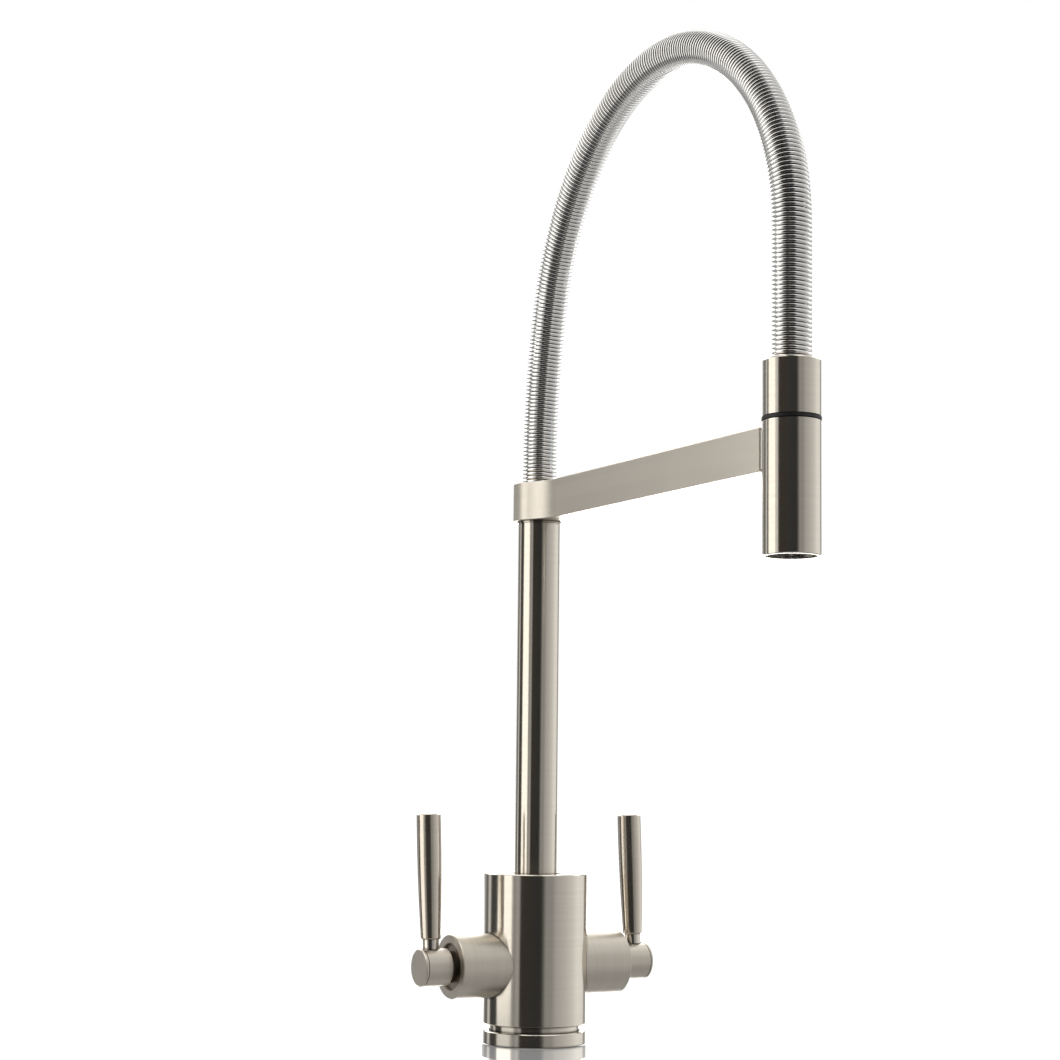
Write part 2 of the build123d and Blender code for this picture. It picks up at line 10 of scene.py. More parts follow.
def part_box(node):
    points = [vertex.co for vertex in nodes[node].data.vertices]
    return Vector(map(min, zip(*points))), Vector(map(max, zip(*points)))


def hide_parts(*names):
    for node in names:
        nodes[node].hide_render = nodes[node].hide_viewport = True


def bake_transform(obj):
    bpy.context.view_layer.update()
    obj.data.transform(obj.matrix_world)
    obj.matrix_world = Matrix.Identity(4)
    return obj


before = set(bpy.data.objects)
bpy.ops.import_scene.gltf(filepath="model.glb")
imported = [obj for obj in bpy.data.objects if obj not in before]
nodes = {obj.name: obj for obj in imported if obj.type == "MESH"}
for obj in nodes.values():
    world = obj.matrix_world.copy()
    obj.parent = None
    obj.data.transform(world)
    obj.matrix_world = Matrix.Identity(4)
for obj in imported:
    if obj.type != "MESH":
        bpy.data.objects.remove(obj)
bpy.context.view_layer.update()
MM = 0.001

# ---- Camera -------------------------------------------------------------------------------------
# A short telephoto about a metre from the mixer and a hand above the deck, off to the hot side, so
# that the hot lever stands nearer than the cold one and the arm reaches right and forwards.
heading = math.radians(28.9)
camera_distance = 1.1044
camera_offset = 0.0044
camera_height = 0.129
camera_pitch = 0.0862
camera_roll = 0.0105

across = Vector((math.cos(heading), -math.sin(heading), 0.0))
away = Vector((math.sin(heading), math.cos(heading), 0.0))
camera_data = bpy.data.cameras.new("camera")
camera_data.sensor_width = 36.0
camera_data.lens = 71.56
camera_data.shift_y = 0.0755
camera = bpy.data.objects.new("camera", camera_data)
camera_place = -across * camera_offset - away * camera_distance + Vector((0, 0, camera_height))
camera.matrix_world = (
    Matrix.Translation(camera_place)
    @ Matrix.Rotation(-heading, 4, "Z")
    @ Matrix.Rotation(math.pi / 2 + camera_pitch, 4, "X")
    @ Matrix.Rotation(camera_roll, 4, "Z"))
bpy.context.scene.collection.objects.link(camera)
bpy.context.scene.camera = camera
bpy.context.scene.view_settings.view_transform = "Standard"

# ---- Studio -------------------------------------------------------------------------------------
# A white deck and sweep, one tall window light on the left, the dark of the room behind the camera
# and a pale wall on the right: upright tubes show them as bands of light, dark and mid grey.


def add_object(name, data):
    """Links a new object to the scene."""
    made = bpy.data.objects.new(name, data)
    bpy.context.scene.collection.objects.link(made)
    return made


def flat_panel(name, corners, material):
    """A flat panel through its corners."""
    mesh = bpy.data.meshes.new(name)
    mesh.from_pydata([tuple(c) for c in corners], [], [tuple(range(len(corners)))])
    mesh.materials.append(material)
    return add_object(name, mesh)


def glow(name, colour, strength):
    """A light-giving material for the studio's panels. The deck's sharp mirror sees it as white."""
    material = bpy.data.materials.new(name)
    material.use_nodes = True
    tree = material.node_tree
    tree.nodes.clear()
    output = tree.nodes.new("ShaderNodeOutputMaterial")
    emission = tree.nodes.new("ShaderNodeEmission")
    emission.inputs["Strength"].default_value = strength
    ray_kind = tree.nodes.new("ShaderNodeLightPath")
    seen = tree.nodes.new("ShaderNodeMix")
    seen.data_type = "RGBA"
    seen.inputs["A"].default_value = (*colour, 1.0)
    seen.inputs["B"].default_value = (1.0, 1.0, 1.0, 1.0)
    tree.links.new(ray_kind.outputs["Is Singular Ray"], seen.inputs["Factor"])
    tree.links.new(seen.outputs["Result"], emission.inputs["Color"])
    tree.links.new(emission.outputs["Emission"], output.inputs["Surface"])
    return material


def upright_panel(name, start, end, low, material):
    """A tall panel that only shows in reflections. Start and end are (right, away) in metres."""
    high = 2.2
    foot = [across * p[0] + away * p[1] for p in (start, end)]
    corners = [foot[0] + Vector((0, 0, low)), foot[1] + Vector((0, 0, low)),
               foot[1] + Vector((0, 0, high)), foot[0] + Vector((0, 0, high))]
    panel = flat_panel(name, corners, material)
    panel.visible_camera = False
    panel.visible_diffuse = False
    panel.visible_shadow = False


upright_panel("window_light", (-0.484, -0.378), (-0.500, -0.012), -0.03,
              glow("window_glow", (1.0, 0.985, 0.955), 1.65))
upright_panel("room_dark", (-0.270, -0.416), (-0.150, -0.700), -0.8,
              glow("room_glow", (0.040, 0.035, 0.030), 1.0))

floor_paint = bpy.data.materials.new("floor_gloss_white")
floor_paint.use_nodes = True
floor_shader = floor_paint.node_tree.nodes["Principled BSDF"]
floor_shader.inputs["Base Color"].default_value = (0.93, 0.93, 0.93, 1.0)
floor_shader.inputs["Roughness"].default_value = 0.0
floor_shader.inputs["Metallic"].default_value = 0.80
floor_shader.inputs["Emission Color"].default_value = (1.0, 1.0, 1.0, 1.0)
floor_shader.inputs["Emission Strength"].default_value = 0.12
floor_half = 6.0
floor = flat_panel("floor", [(x * floor_half, y * floor_half, 0)
                             for x, y in ((-1, -1), (1, -1), (1, 1), (-1, 1))], floor_paint)
floor.visible_glossy = False

world = bpy.data.worlds.new("studio")
bpy.context.scene.world = world
world.use_nodes = True
sky = world.node_tree
sky.nodes.clear()


def sky_node(kind, **settings):
    """A node of the room's light, with its settings."""
    node = sky.nodes.new(kind)
    for key, value in settings.items():
        setattr(node, key, value)
    return node


def sky_dot(direction):
    """How far a direction in the room points along the given one."""
    node = sky_node("ShaderNodeVectorMath", operation="DOT_PRODUCT")
    sky.links.new(room_direction.outputs["Generated"], node.inputs[0])
    node.inputs[1].default_value = direction
    return node.outputs["Value"]


def sky_ramp(source, stops):
    """A colour ramp on a socket, with its stops as (position, grey level)."""
    node = sky_node("ShaderNodeValToRGB")
    elements = node.color_ramp.elements
    elements.remove(elements[1])
    for index, (position, level) in enumerate(stops):
        stop = elements[0] if index == 0 else elements.new(position)
        stop.position = position
        stop.color = (level, level, level, 1.0)
    sky.links.new(source, node.inputs["Fac"])
    return node.outputs["Color"]


def sky_mix(blend, factor, first, second):
    """Mixes two sockets, by a socket or by a plain factor."""
    node = sky_node("ShaderNodeMix", data_type="RGBA", blend_type=blend)
    if isinstance(factor, float):
        node.inputs["Factor"].default_value = factor
    else:
        sky.links.new(factor, node.inputs["Factor"])
    sky.links.new(first, node.inputs["A"])
    sky.links.new(second, node.inputs["B"])
    return node.outputs["Result"]


room_direction = sky_node("ShaderNodeTexCoord")
bearing = sky_node("ShaderNodeMath", operation="ARCTAN2")
sky.links.new(sky_dot(across), bearing.inputs[0])
sky.links.new(sky_dot(-away), bearing.inputs[1])
bearing_share = sky_node("ShaderNodeMapRange")
bearing_share.inputs["From Min"].default_value = -math.pi
bearing_share.inputs["From Max"].default_value = math.pi
sky.links.new(bearing.outputs["Value"], bearing_share.inputs["Value"])
height_share = sky_node("ShaderNodeMapRange")
height_share.inputs["From Min"].default_value = -1.0
sky.links.new(sky_dot((0, 0, 1)), height_share.inputs["Value"])


def by_bearing(stops, full=1.0):
    """Levels round the mixer, as (degrees to the right of the camera, level)."""
    return sky_ramp(bearing_share.outputs["Result"],
                    [((degrees + 180) / 360, level / full) for degrees, level in stops])


def by_rise(stops, full=1.0):
    """Levels from straight down to straight up, as (sine of the rise, level)."""
    return sky_ramp(height_share.outputs["Result"],
                    [((rise + 1) / 2, level / full) for rise, level in stops])


# what stands round the mixer at its own height; a ramp takes no more than 32 stops
brightest = 3.0
wall_levels = ((-180, 1.8), (-170, 1.8), (-164, 0.50), (-146, 0.42), (-138, 0.16), (-130, 0.16),
               (-125, 0.75), (-119, 0.75), (-114, 0.06), (-94, 0.06), (-91, 0.40), (-87, 0.80),
               (-60, 0.80), (-54, 0.50), (-46, 0.28), (-41, 0.45), (-34, 0.40), (-30, 0.04),
               (13, 0.03), (18, 0.12), (23, 0.34), (38, 0.34), (46, 0.50), (66, 0.62), (88, 0.80),
               (108, 1.05), (133, 1.0), (139, 0.38), (153, 0.38), (160, 0.9), (171, 1.8),
               (180, 1.8))
walls = by_bearing(wall_levels, brightest)
# the ceiling and the floor, darker behind the camera except straight overhead and underfoot
room = by_rise(((-1.0, 0.40), (-0.3, 0.42), (0.3, 0.50), (0.6, 0.80), (1.0, 0.80)), brightest)
behind_camera = by_bearing(((-42, 1.0), (-30, 0.08), (12, 0.08), (26, 1.0)))
overhead = by_rise(((-0.97, 1.0), (-0.90, 0.0), (0.84, 0.0), (0.95, 1.0)))
room = sky_mix("MULTIPLY", 1.0, room, sky_mix("ADD", 1.0, behind_camera, overhead))
off_walls = by_rise(((-0.45, 1.0), (-0.16, 0.0), (0.20, 0.0), (0.50, 1.0)))
# the overexposed sweep behind the mixer, above and below the height of the walls
high_sweep = sky_mix("MULTIPLY", 1.0,
                     by_rise(((0.28, 0.0), (0.40, 0.75), (0.60, 0.75), (0.74, 0.0))),
                     by_bearing(((-145, 1.0), (-120, 0.0), (120, 0.0), (145, 1.0))))
low_sweep = sky_mix("MULTIPLY", 1.0,
                    by_rise(((-0.60, 0.0), (-0.45, 1.0), (-0.09, 1.0), (-0.04, 0.0))),
                    by_bearing(((-166, 1.0), (-150, 0.0), (150, 0.0), (166, 1.0))))
around = sky_mix("MIX", off_walls, walls, room)
around = sky_mix("ADD", 1.0, around, sky_mix("ADD", 1.0, high_sweep, low_sweep))
# only blurred reflections see the room: the deck's sharp mirror and everything else see white
ray = sky_node("ShaderNodeLightPath")
wall_light = sky_node("ShaderNodeBackground")
wall_light.inputs["Strength"].default_value = brightest
sky.links.new(around, wall_light.inputs["Color"])
plain_light = sky_node("ShaderNodeBackground")
plain_light.inputs["Color"].default_value = (1.0, 1.0, 1.0, 1.0)
plain_light.inputs["Strength"].default_value = 1.0
choice = sky_node("ShaderNodeMixShader")
blurred = sky_node("ShaderNodeMath", operation="SUBTRACT")
sky.links.new(ray.outputs["Is Glossy Ray"], blurred.inputs[0])
sky.links.new(ray.outputs["Is Singular Ray"], blurred.inputs[1])
sky.links.new(blurred.outputs["Value"], choice.inputs["Fac"])
sky.links.new(plain_light.outputs["Background"], choice.inputs[1])
sky.links.new(wall_light.outputs["Background"], choice.inputs[2])
sky_output = sky_node("ShaderNodeOutputWorld")
sky.links.new(choice.outputs["Shader"], sky_output.inputs["Surface"])

top_light = bpy.data.lights.new("top_light", "AREA")
top_light.shape = "DISK"
top_light.size = 0.9
top_light.energy = 6.0
top_lamp = add_object("top_light", top_light)
top_lamp.visible_glossy = False
top_lamp.location = (-0.5, -0.6, 1.5)
lamp_aim = Vector((0, 0, 0.2)) - top_lamp.location
top_lamp.rotation_euler = lamp_aim.to_track_quat("-Z", "Y").to_euler()

# ---- Base ring, gasket and body -----------------------------------------------------------------
# Turned brass in brushed nickel. The body's neck drops into the base ring and leaves a groove
# between them, and a flat rubber gasket lies in the underside of the ring.


def group(name, inputs, outputs):
    """An empty shader node group with its sockets: inputs as (name, type, default)."""
    tree = bpy.data.node_groups.new(name, "ShaderNodeTree")
    for socket_name, kind, default in inputs:
        socket = tree.interface.new_socket(socket_name, in_out="INPUT", socket_type=kind)
        socket.default_value = default
    for socket_name, kind in outputs:
        tree.interface.new_socket(socket_name, in_out="OUTPUT", socket_type=kind)
    return tree, tree.nodes.new("NodeGroupInput"), tree.nodes.new("NodeGroupOutput")


def make_brushing():
    """Fine parallel lines left by an abrasive, finest along the axes with a high density."""
    tree, given, result = group(
        "brushing",
        [("Lines Along X", "NodeSocketFloat", 40.0), ("Lines Along Y", "NodeSocketFloat", 40.0),
         ("Lines Along Z", "NodeSocketFloat", 6000.0)],
        [("Lines", "NodeSocketFloat"), ("Streaks", "NodeSocketFloat")])
    place = tree.nodes.new("ShaderNodeTexCoord")
    split = tree.nodes.new("ShaderNodeSeparateXYZ")
    tree.links.new(place.outputs["Object"], split.inputs["Vector"])
    stretched = tree.nodes.new("ShaderNodeCombineXYZ")
    for axis in "XYZ":
        scale = tree.nodes.new("ShaderNodeMath")
        scale.operation = "MULTIPLY"
        tree.links.new(split.outputs[axis], scale.inputs[0])
        tree.links.new(given.outputs[f"Lines Along {axis}"], scale.inputs[1])
        tree.links.new(scale.outputs["Value"], stretched.inputs[axis])
    fine = tree.nodes.new("ShaderNodeTexNoise")
    fine.inputs["Scale"].default_value = 1.0
    fine.inputs["Detail"].default_value = 3.0
    fine.inputs["Roughness"].default_value = 0.65
    tree.links.new(stretched.outputs["Vector"], fine.inputs["Vector"])
    tree.links.new(fine.outputs["Fac"], result.inputs["Lines"])
    broad = tree.nodes.new("ShaderNodeTexNoise")
    broad.inputs["Scale"].default_value = 0.12
    broad.inputs["Detail"].default_value = 2.0
    tree.links.new(stretched.outputs["Vector"], broad.inputs["Vector"])
    tree.links.new(broad.outputs["Fac"], result.inputs["Streaks"])
    return tree


def make_handling():
    """Soft uneven patches where a plated surface has been wiped and touched."""
    tree, given, result = group("handling", [("Patches Per Metre", "NodeSocketFloat", 30.0)],
                                [("Patches", "NodeSocketFloat")])
    place = tree.nodes.new("ShaderNodeTexCoord")
    cloud = tree.nodes.new("ShaderNodeTexNoise")
    cloud.inputs["Detail"].default_value = 4.0
    tree.links.new(place.outputs["Object"], cloud.inputs["Vector"])
    tree.links.new(given.outputs["Patches Per Metre"], cloud.inputs["Scale"])
    contrast = tree.nodes.new("ShaderNodeMapRange")
    contrast.inputs["From Min"].default_value = 0.38
    contrast.inputs["From Max"].default_value = 0.68
    tree.links.new(cloud.outputs["Fac"], contrast.inputs["Value"])
    tree.links.new(contrast.outputs["Result"], result.inputs["Patches"])
    return tree


def make_edge_highlight():
    """Marks the narrow strip along every edge, for a painted highlight along the chamfers."""
    tree, given, result = group("edge_highlight", [("Width", "NodeSocketFloat", 0.0004)],
                                [("Edge", "NodeSocketFloat")])
    rounded = tree.nodes.new("ShaderNodeBevel")
    rounded.samples = 4
    tree.links.new(given.outputs["Width"], rounded.inputs["Radius"])
    surface = tree.nodes.new("ShaderNodeNewGeometry")
    likeness = tree.nodes.new("ShaderNodeVectorMath")
    likeness.operation = "DOT_PRODUCT"
    tree.links.new(rounded.outputs["Normal"], likeness.inputs[0])
    tree.links.new(surface.outputs["Normal"], likeness.inputs[1])
    edge = tree.nodes.new("ShaderNodeMapRange")
    edge.inputs["From Min"].default_value = 0.995
    edge.inputs["From Max"].default_value = 0.90
    tree.links.new(likeness.outputs["Value"], edge.inputs["Value"])
    tree.links.new(edge.outputs["Result"], result.inputs["Edge"])
    return tree


def make_corner_shading():
    """Marks the inner corners by ambient occlusion, for painted shade in seams and corners."""
    tree, given, result = group("corner_shading", [("Width", "NodeSocketFloat", 0.001)],
                                [("Corner", "NodeSocketFloat")])
    shade = tree.nodes.new("ShaderNodeAmbientOcclusion")
    shade.samples = 8
    tree.links.new(given.outputs["Width"], shade.inputs["Distance"])
    corner = tree.nodes.new("ShaderNodeMapRange")
    corner.inputs["From Min"].default_value = 0.90
    corner.inputs["From Max"].default_value = 0.55
    tree.links.new(shade.outputs["AO"], corner.inputs["Value"])
    tree.links.new(corner.outputs["Result"], result.inputs["Corner"])
    return tree


brushing = make_brushing()
handling = make_handling()
edge_highlight = make_edge_highlight()
corner_shading = make_corner_shading()


def placed(tree, node_group, **values):
    """Places a node group in a material with its own input values."""
    node = tree.nodes.new("ShaderNodeGroup")
    node.node_tree = node_group
    for socket, value in values.items():
        node.inputs[socket.replace("_", " ")].default_value = value
    return node


def mixed(tree, factor, low, high):
    """Mixes two colours by a socket."""
    node = tree.nodes.new("ShaderNodeMix")
    node.data_type = "RGBA"
    tree.links.new(factor, node.inputs["Factor"])
    for socket, colour in (("A", low), ("B", high)):
        if isinstance(colour, tuple):
            node.inputs[socket].default_value = (*colour, 1.0)
        else:
            tree.links.new(colour, node.inputs[socket])
    return node.outputs["Result"]


def ranged(tree, source, low, high):
    """Maps a 0 to 1 socket onto a range."""
    node = tree.nodes.new("ShaderNodeMapRange")
    node.inputs["To Min"].default_value = low
    node.inputs["To Max"].default_value = high
    tree.links.new(source, node.inputs["Value"])
    return node.outputs["Result"]


def added(tree, first, second):
    """The sum of two sockets."""
    node = tree.nodes.new("ShaderNodeMath")
    node.operation = "ADD"
    tree.links.new(first, node.inputs[0])
    tree.links.new(second, node.inputs[1])
    return node.outputs["Value"]


def shader_of(name):
    """A new material, its tree and its Principled BSDF."""
    material = bpy.data.materials.new(name)
    material.use_nodes = True
    return material, material.node_tree, material.node_tree.nodes["Principled BSDF"]


def nickel_plate(name, colour, roughness, lines, grain_depth, spread=0.0, axis="Z"):
    """Nickel plate over brushed brass. Lines is the density along X, Y and Z, per metre."""
    material, tree, shader = shader_of(name)
    grain = placed(tree, brushing,
                   Lines_Along_X=lines[0], Lines_Along_Y=lines[1], Lines_Along_Z=lines[2])
    touch = placed(tree, handling, Patches_Per_Metre=26.0)
    # painted highlight: the plate's colour is raised along every edge, standing in for light caught
    # on the chamfers
    edge = placed(tree, edge_highlight, Width=0.0005)
    darker = tuple(c * 0.93 for c in colour)
    lighter = tuple(min(1.0, c * 1.05) for c in colour)
    highlight_colour = tuple(min(1.0, c * 1.28) for c in colour)
    plate = mixed(tree, grain.outputs["Streaks"], darker, lighter)
    plate_and_highlight = mixed(tree, ranged(tree, edge.outputs["Edge"], 0.0, 0.6), plate, highlight_colour)
    # painted shade: inner corners and seams are darkened toward dark brown
    corner = placed(tree, corner_shading, Width=0.0018)
    painted_shade_share = ranged(tree, corner.outputs["Corner"], 0.0, 0.85)
    tree.links.new(mixed(tree, painted_shade_share, plate_and_highlight, (0.05, 0.045, 0.04)), shader.inputs["Base Color"])
    shader.inputs["Metallic"].default_value = 1.0
    shader.inputs["Anisotropic"].default_value = spread
    shader.inputs["Anisotropic Rotation"].default_value = 0.25
    grain_roughness = ranged(tree, grain.outputs["Lines"], roughness * 0.75, roughness * 1.20)
    tree.links.new(added(tree, grain_roughness, ranged(tree, touch.outputs["Patches"], 0.0, 0.035)),
                   shader.inputs["Roughness"])
    bump = tree.nodes.new("ShaderNodeBump")
    bump.inputs["Strength"].default_value = 0.5
    bump.inputs["Distance"].default_value = grain_depth
    tree.links.new(grain.outputs["Lines"], bump.inputs["Height"])
    tree.links.new(bump.outputs["Normal"], shader.inputs["Normal"])
    if spread:
        around = tree.nodes.new("ShaderNodeTangent")
        around.direction_type = "RADIAL"
        around.axis = axis
        tree.links.new(around.outputs["Tangent"], shader.inputs["Tangent"])
    return material


def finish_in(material, *names):
    """Gives CAD nodes their material."""
    for name in names:
        for slot in nodes[name].material_slots:
            slot.material = material


MICRON = 0.000001
turned_nickel = nickel_plate("turned_nickel", (0.66, 0.61, 0.53), 0.15, (30.0, 30.0, 4000.0),
                             1.2 * MICRON, spread=0.6)


def black_rubber(name, level, roughness):
    """Moulded black rubber with a fine skin."""
    material, tree, shader = shader_of(name)
    place = tree.nodes.new("ShaderNodeTexCoord")
    skin = tree.nodes.new("ShaderNodeTexNoise")
    skin.inputs["Scale"].default_value = 2200.0
    skin.inputs["Detail"].default_value = 3.0
    tree.links.new(place.outputs["Object"], skin.inputs["Vector"])
    tree.links.new(mixed(tree, skin.outputs["Fac"], (level,) * 3, (level * 1.8,) * 3),
                   shader.inputs["Base Color"])
    tree.links.new(ranged(tree, skin.outputs["Fac"], roughness - 0.08, roughness + 0.08),
                   shader.inputs["Roughness"])
    bump = tree.nodes.new("ShaderNodeBump")
    bump.inputs["Strength"].default_value = 0.4
    bump.inputs["Distance"].default_value = 20 * MICRON
    tree.links.new(skin.outputs["Fac"], bump.inputs["Height"])
    tree.links.new(bump.outputs["Normal"], shader.inputs["Normal"])
    return material


seal_rubber = black_rubber("seal_rubber", 0.018, 0.55)
finish_in(turned_nickel, "base_ring", "body_shell")
finish_in(seal_rubber, "deck_gasket")

# ---- Side bosses --------------------------------------------------------------------------------
# Sleeves brazed to the round of the body and brushed to a finer, softer satin than the body. The
# gland nut inside each one is coloured dark, as painted shade in the recess behind the hub.
satin_along_x = nickel_plate("satin_nickel_valves", (0.64, 0.59, 0.51), 0.36, (4200.0, 60.0, 60.0),
                             5 * MICRON, spread=0.2, axis="X")
finish_in(satin_along_x, "hot_boss", "cold_boss")

# ---- Valves -------------------------------------------------------------------------------------
# A quarter-turn ceramic valve lies inside each boss: brass barrel and spindle, two lapped discs, a
# rubber seat seal and an O-ring.


def turned_brass():
    """Bare turned brass with its fine tool marks and a little tarnish."""
    material, tree, shader = shader_of("turned_brass")
    grain = placed(tree, brushing, Lines_Along_X=1500.0, Lines_Along_Y=90.0, Lines_Along_Z=1500.0)
    tarnish = placed(tree, handling, Patches_Per_Metre=120.0)
    metal = mixed(tree, grain.outputs["Streaks"], (0.70, 0.49, 0.21), (0.80, 0.60, 0.29))
    tarnish_share = ranged(tree, tarnish.outputs["Patches"], 0.0, 0.5)
    tree.links.new(mixed(tree, tarnish_share, metal, (0.42, 0.28, 0.13)),
                   shader.inputs["Base Color"])
    tree.links.new(ranged(tree, grain.outputs["Lines"], 0.20, 0.38), shader.inputs["Roughness"])
    shader.inputs["Metallic"].default_value = 1.0
    return material


def fine_solid(name, low, high, roughness, grain_per_metre, metallic=0.0):
    """A dense moulded, lapped or ground material with a fine mottle."""
    material, tree, shader = shader_of(name)
    place = tree.nodes.new("ShaderNodeTexCoord")
    mottle = tree.nodes.new("ShaderNodeTexNoise")
    mottle.inputs["Scale"].default_value = grain_per_metre
    mottle.inputs["Detail"].default_value = 4.0
    tree.links.new(place.outputs["Object"], mottle.inputs["Vector"])
    tree.links.new(mixed(tree, mottle.outputs["Fac"], low, high), shader.inputs["Base Color"])
    tree.links.new(ranged(tree, mottle.outputs["Fac"], roughness * 0.7, roughness * 1.3),
                   shader.inputs["Roughness"])
    shader.inputs["Metallic"].default_value = metallic
    bump = tree.nodes.new("ShaderNodeBump")
    bump.inputs["Strength"].default_value = 0.3
    bump.inputs["Distance"].default_value = 10 * MICRON
    tree.links.new(mottle.outputs["Fac"], bump.inputs["Height"])
    tree.links.new(bump.outputs["Normal"], shader.inputs["Normal"])
    return material


brass = turned_brass()
# painted shade: the gland nuts are coloured dark brown to stand for the shade in the recess behind
# each hub
shade_darkened_brass = fine_solid("shade_darkened_brass", (0.24, 0.21, 0.17), (0.33, 0.29, 0.24), 0.30, 900.0,
                         metallic=1.0)
ceramic = fine_solid("lapped_ceramic", (0.84, 0.82, 0.77), (0.93, 0.92, 0.89), 0.16, 900.0)
for side in ("hot", "cold"):
    finish_in(brass, f"{side}_cartridge_housing", f"{side}_spindle")
    finish_in(shade_darkened_brass, f"{side}_gland_nut")
    finish_in(ceramic, f"{side}_fixed_disc", f"{side}_moving_disc")
    finish_in(seal_rubber, f"{side}_seat_seal", f"{side}_spindle_seal")

# ---- Levers -------------------------------------------------------------------------------------
# Each hub is a satin block with an end disc pressed in behind a thin gap. A turned stud stands in a
# spot face on the hub and carries the tapered grip, and a grub screw underneath locks the hub.
grip_nickel = nickel_plate("grip_nickel", (0.62, 0.56, 0.48), 0.20, (40.0, 40.0, 5200.0),
                           4 * MICRON, spread=0.4)
stud_nickel = nickel_plate("stud_nickel", (0.70, 0.65, 0.58), 0.14, (60.0, 60.0, 3000.0),
                           3 * MICRON)
screw_steel = fine_solid("screw_steel", (0.30, 0.30, 0.31), (0.42, 0.42, 0.43), 0.34, 1800.0,
                         metallic=1.0)
for side in ("hot", "cold"):
    finish_in(satin_along_x, f"{side}_lever_hub", f"{side}_hub_cap")
    finish_in(stud_nickel, f"{side}_lever_stud")
    finish_in(grip_nickel, f"{side}_lever_grip")
    finish_in(screw_steel, f"{side}_grub_screw")

# ---- Riser --------------------------------------------------------------------------------------
# A drawn tube, brushed round and round, that turns in a nylon bush in the top of the body. Two
# O-rings seal it, a snap ring keeps it in, and a thin ring under the arm's collar trims it.
nylon = fine_solid("white_nylon", (0.72, 0.71, 0.67), (0.82, 0.81, 0.78), 0.42, 700.0)
finish_in(turned_nickel, "riser_tube", "arm_washer")
finish_in(nylon, "swivel_bush", "thrust_ring")
finish_in(seal_rubber, "riser_seals")
finish_in(screw_steel, "riser_clip", "bush_screw")

# ---- Docking arm --------------------------------------------------------------------------------
# One brass casting: a collar that blends into a flat bar, brushed along its length. An ivory nylon
# seat, hollowed to the round of the head and backed by a magnet, closes its end.
satin_along_arm = nickel_plate("satin_nickel_arm", (0.70, 0.65, 0.57), 0.40, (2600.0, 25.0, 2600.0),
                               6 * MICRON)
ivory_nylon = fine_solid("ivory_nylon", (0.86, 0.82, 0.74), (0.92, 0.89, 0.82), 0.40, 700.0)
magnet_plate = fine_solid("magnet_plate", (0.50, 0.50, 0.50), (0.60, 0.60, 0.61), 0.22, 1500.0,
                          metallic=1.0)
finish_in(satin_along_arm, "docking_arm")
finish_in(ivory_nylon, "dock_seat")
finish_in(magnet_plate, "dock_magnet", "dock_keeper")
finish_in(screw_steel, "arm_screw")

# ---- Spring -------------------------------------------------------------------------------------
# Round stainless wire wound close round the hose. It stands on a washer in the collar, arches over
# and goes into the sleeve above the spray head, where a second washer takes its end.
collar_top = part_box("docking_arm")[1].z
coil_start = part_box("spring_seat")[1].z
coil_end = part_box("top_spring_seat")[1].z
head_low, head_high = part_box("head_shell")
reach = -(head_low.y + head_high.y) / 2
coil_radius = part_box("hose_spring")[1].x
wire_radius = 0.92 * MM
coil_pitch = 2.03 * MM
arch_lead = 7.8 * MM
arch = ((392.7, 13.0), (142.1, 35.5), (100.8, 65.6), (107.5, 65.9))   # (radius share, turn)


def arch_line():
    """The hose's line as straight and round stretches: (length, start point, heading, radius).

    Points are (forward, up); a heading of 0 is straight up and grows as the line bends forward.
    """
    span, heading_now = 0.0, 0.0
    for radius, turn in arch:
        after = heading_now + math.radians(turn)
        span += radius * (math.cos(heading_now) - math.cos(after))
        heading_now = after
    scale = reach / span
    point = np.array([0.0, coil_start])
    stretches = [(collar_top + arch_lead - coil_start, point, 0.0, None)]
    point = np.array([0.0, collar_top + arch_lead])
    heading_now = 0.0
    for radius, turn in arch:
        size, angle = radius * scale, math.radians(turn)
        stretches.append((size * angle, point, heading_now, size))
        after = heading_now + angle
        point = point + size * np.array([math.cos(heading_now) - math.cos(after),
                                         math.sin(after) - math.sin(heading_now)])
        heading_now = after
    stretches.append((point[1] - coil_end, point, heading_now, None))
    return stretches


hose_line = arch_line()
hose_length = sum(stretch[0] for stretch in hose_line)


def along_hose(distance):
    """Points and headings on the hose's line at the given distances from its foot."""
    points = np.zeros((len(distance), 2))
    headings = np.zeros(len(distance))
    done = 0.0
    last = len(hose_line) - 1
    for index, (length, start, heading_now, size) in enumerate(hose_line):
        here = distance >= done
        if index < last:
            here &= distance < done + length
        way = distance[here] - done
        if size is None:
            straight_on = np.array([math.sin(heading_now), math.cos(heading_now)])
            points[here] = start + way[:, None] * straight_on
            headings[here] = heading_now
        else:
            after = heading_now + way / size
            points[here, 0] = start[0] + size * (math.cos(heading_now) - np.cos(after))
            points[here, 1] = start[1] + size * (np.sin(after) - math.sin(heading_now))
            headings[here] = after
        done += length
    return points, headings


def tube_mesh(name, centres, outward, sideways, radius, sides):
    """A tube round a line of centres, with a flat cap at each end."""
    count = len(centres)
    turn = (np.arange(sides) * 2 * math.pi / sides)[None, :, None]
    spokes = np.cos(turn) * outward[:, None, :] + np.sin(turn) * sideways[:, None, :]
    verts = centres[:, None, :] + radius * spokes
    rows = np.arange(count - 1)[:, None] * sides
    side = np.arange(sides)[None, :]
    after = (side + 1) % sides
    faces = np.stack([rows + side, rows + after, rows + after + sides, rows + side + sides],
                     axis=-1).reshape(-1, 4).tolist()
    caps = [list(range(sides))[::-1], list(range((count - 1) * sides, count * sides))]
    mesh = bpy.data.meshes.new(name)
    mesh.from_pydata(verts.reshape(-1, 3).tolist(), [], faces + caps)
    mesh.polygons.foreach_set("use_smooth", [True] * len(faces) + [False] * 2)
    mesh.update()
    return add_object(name, mesh)


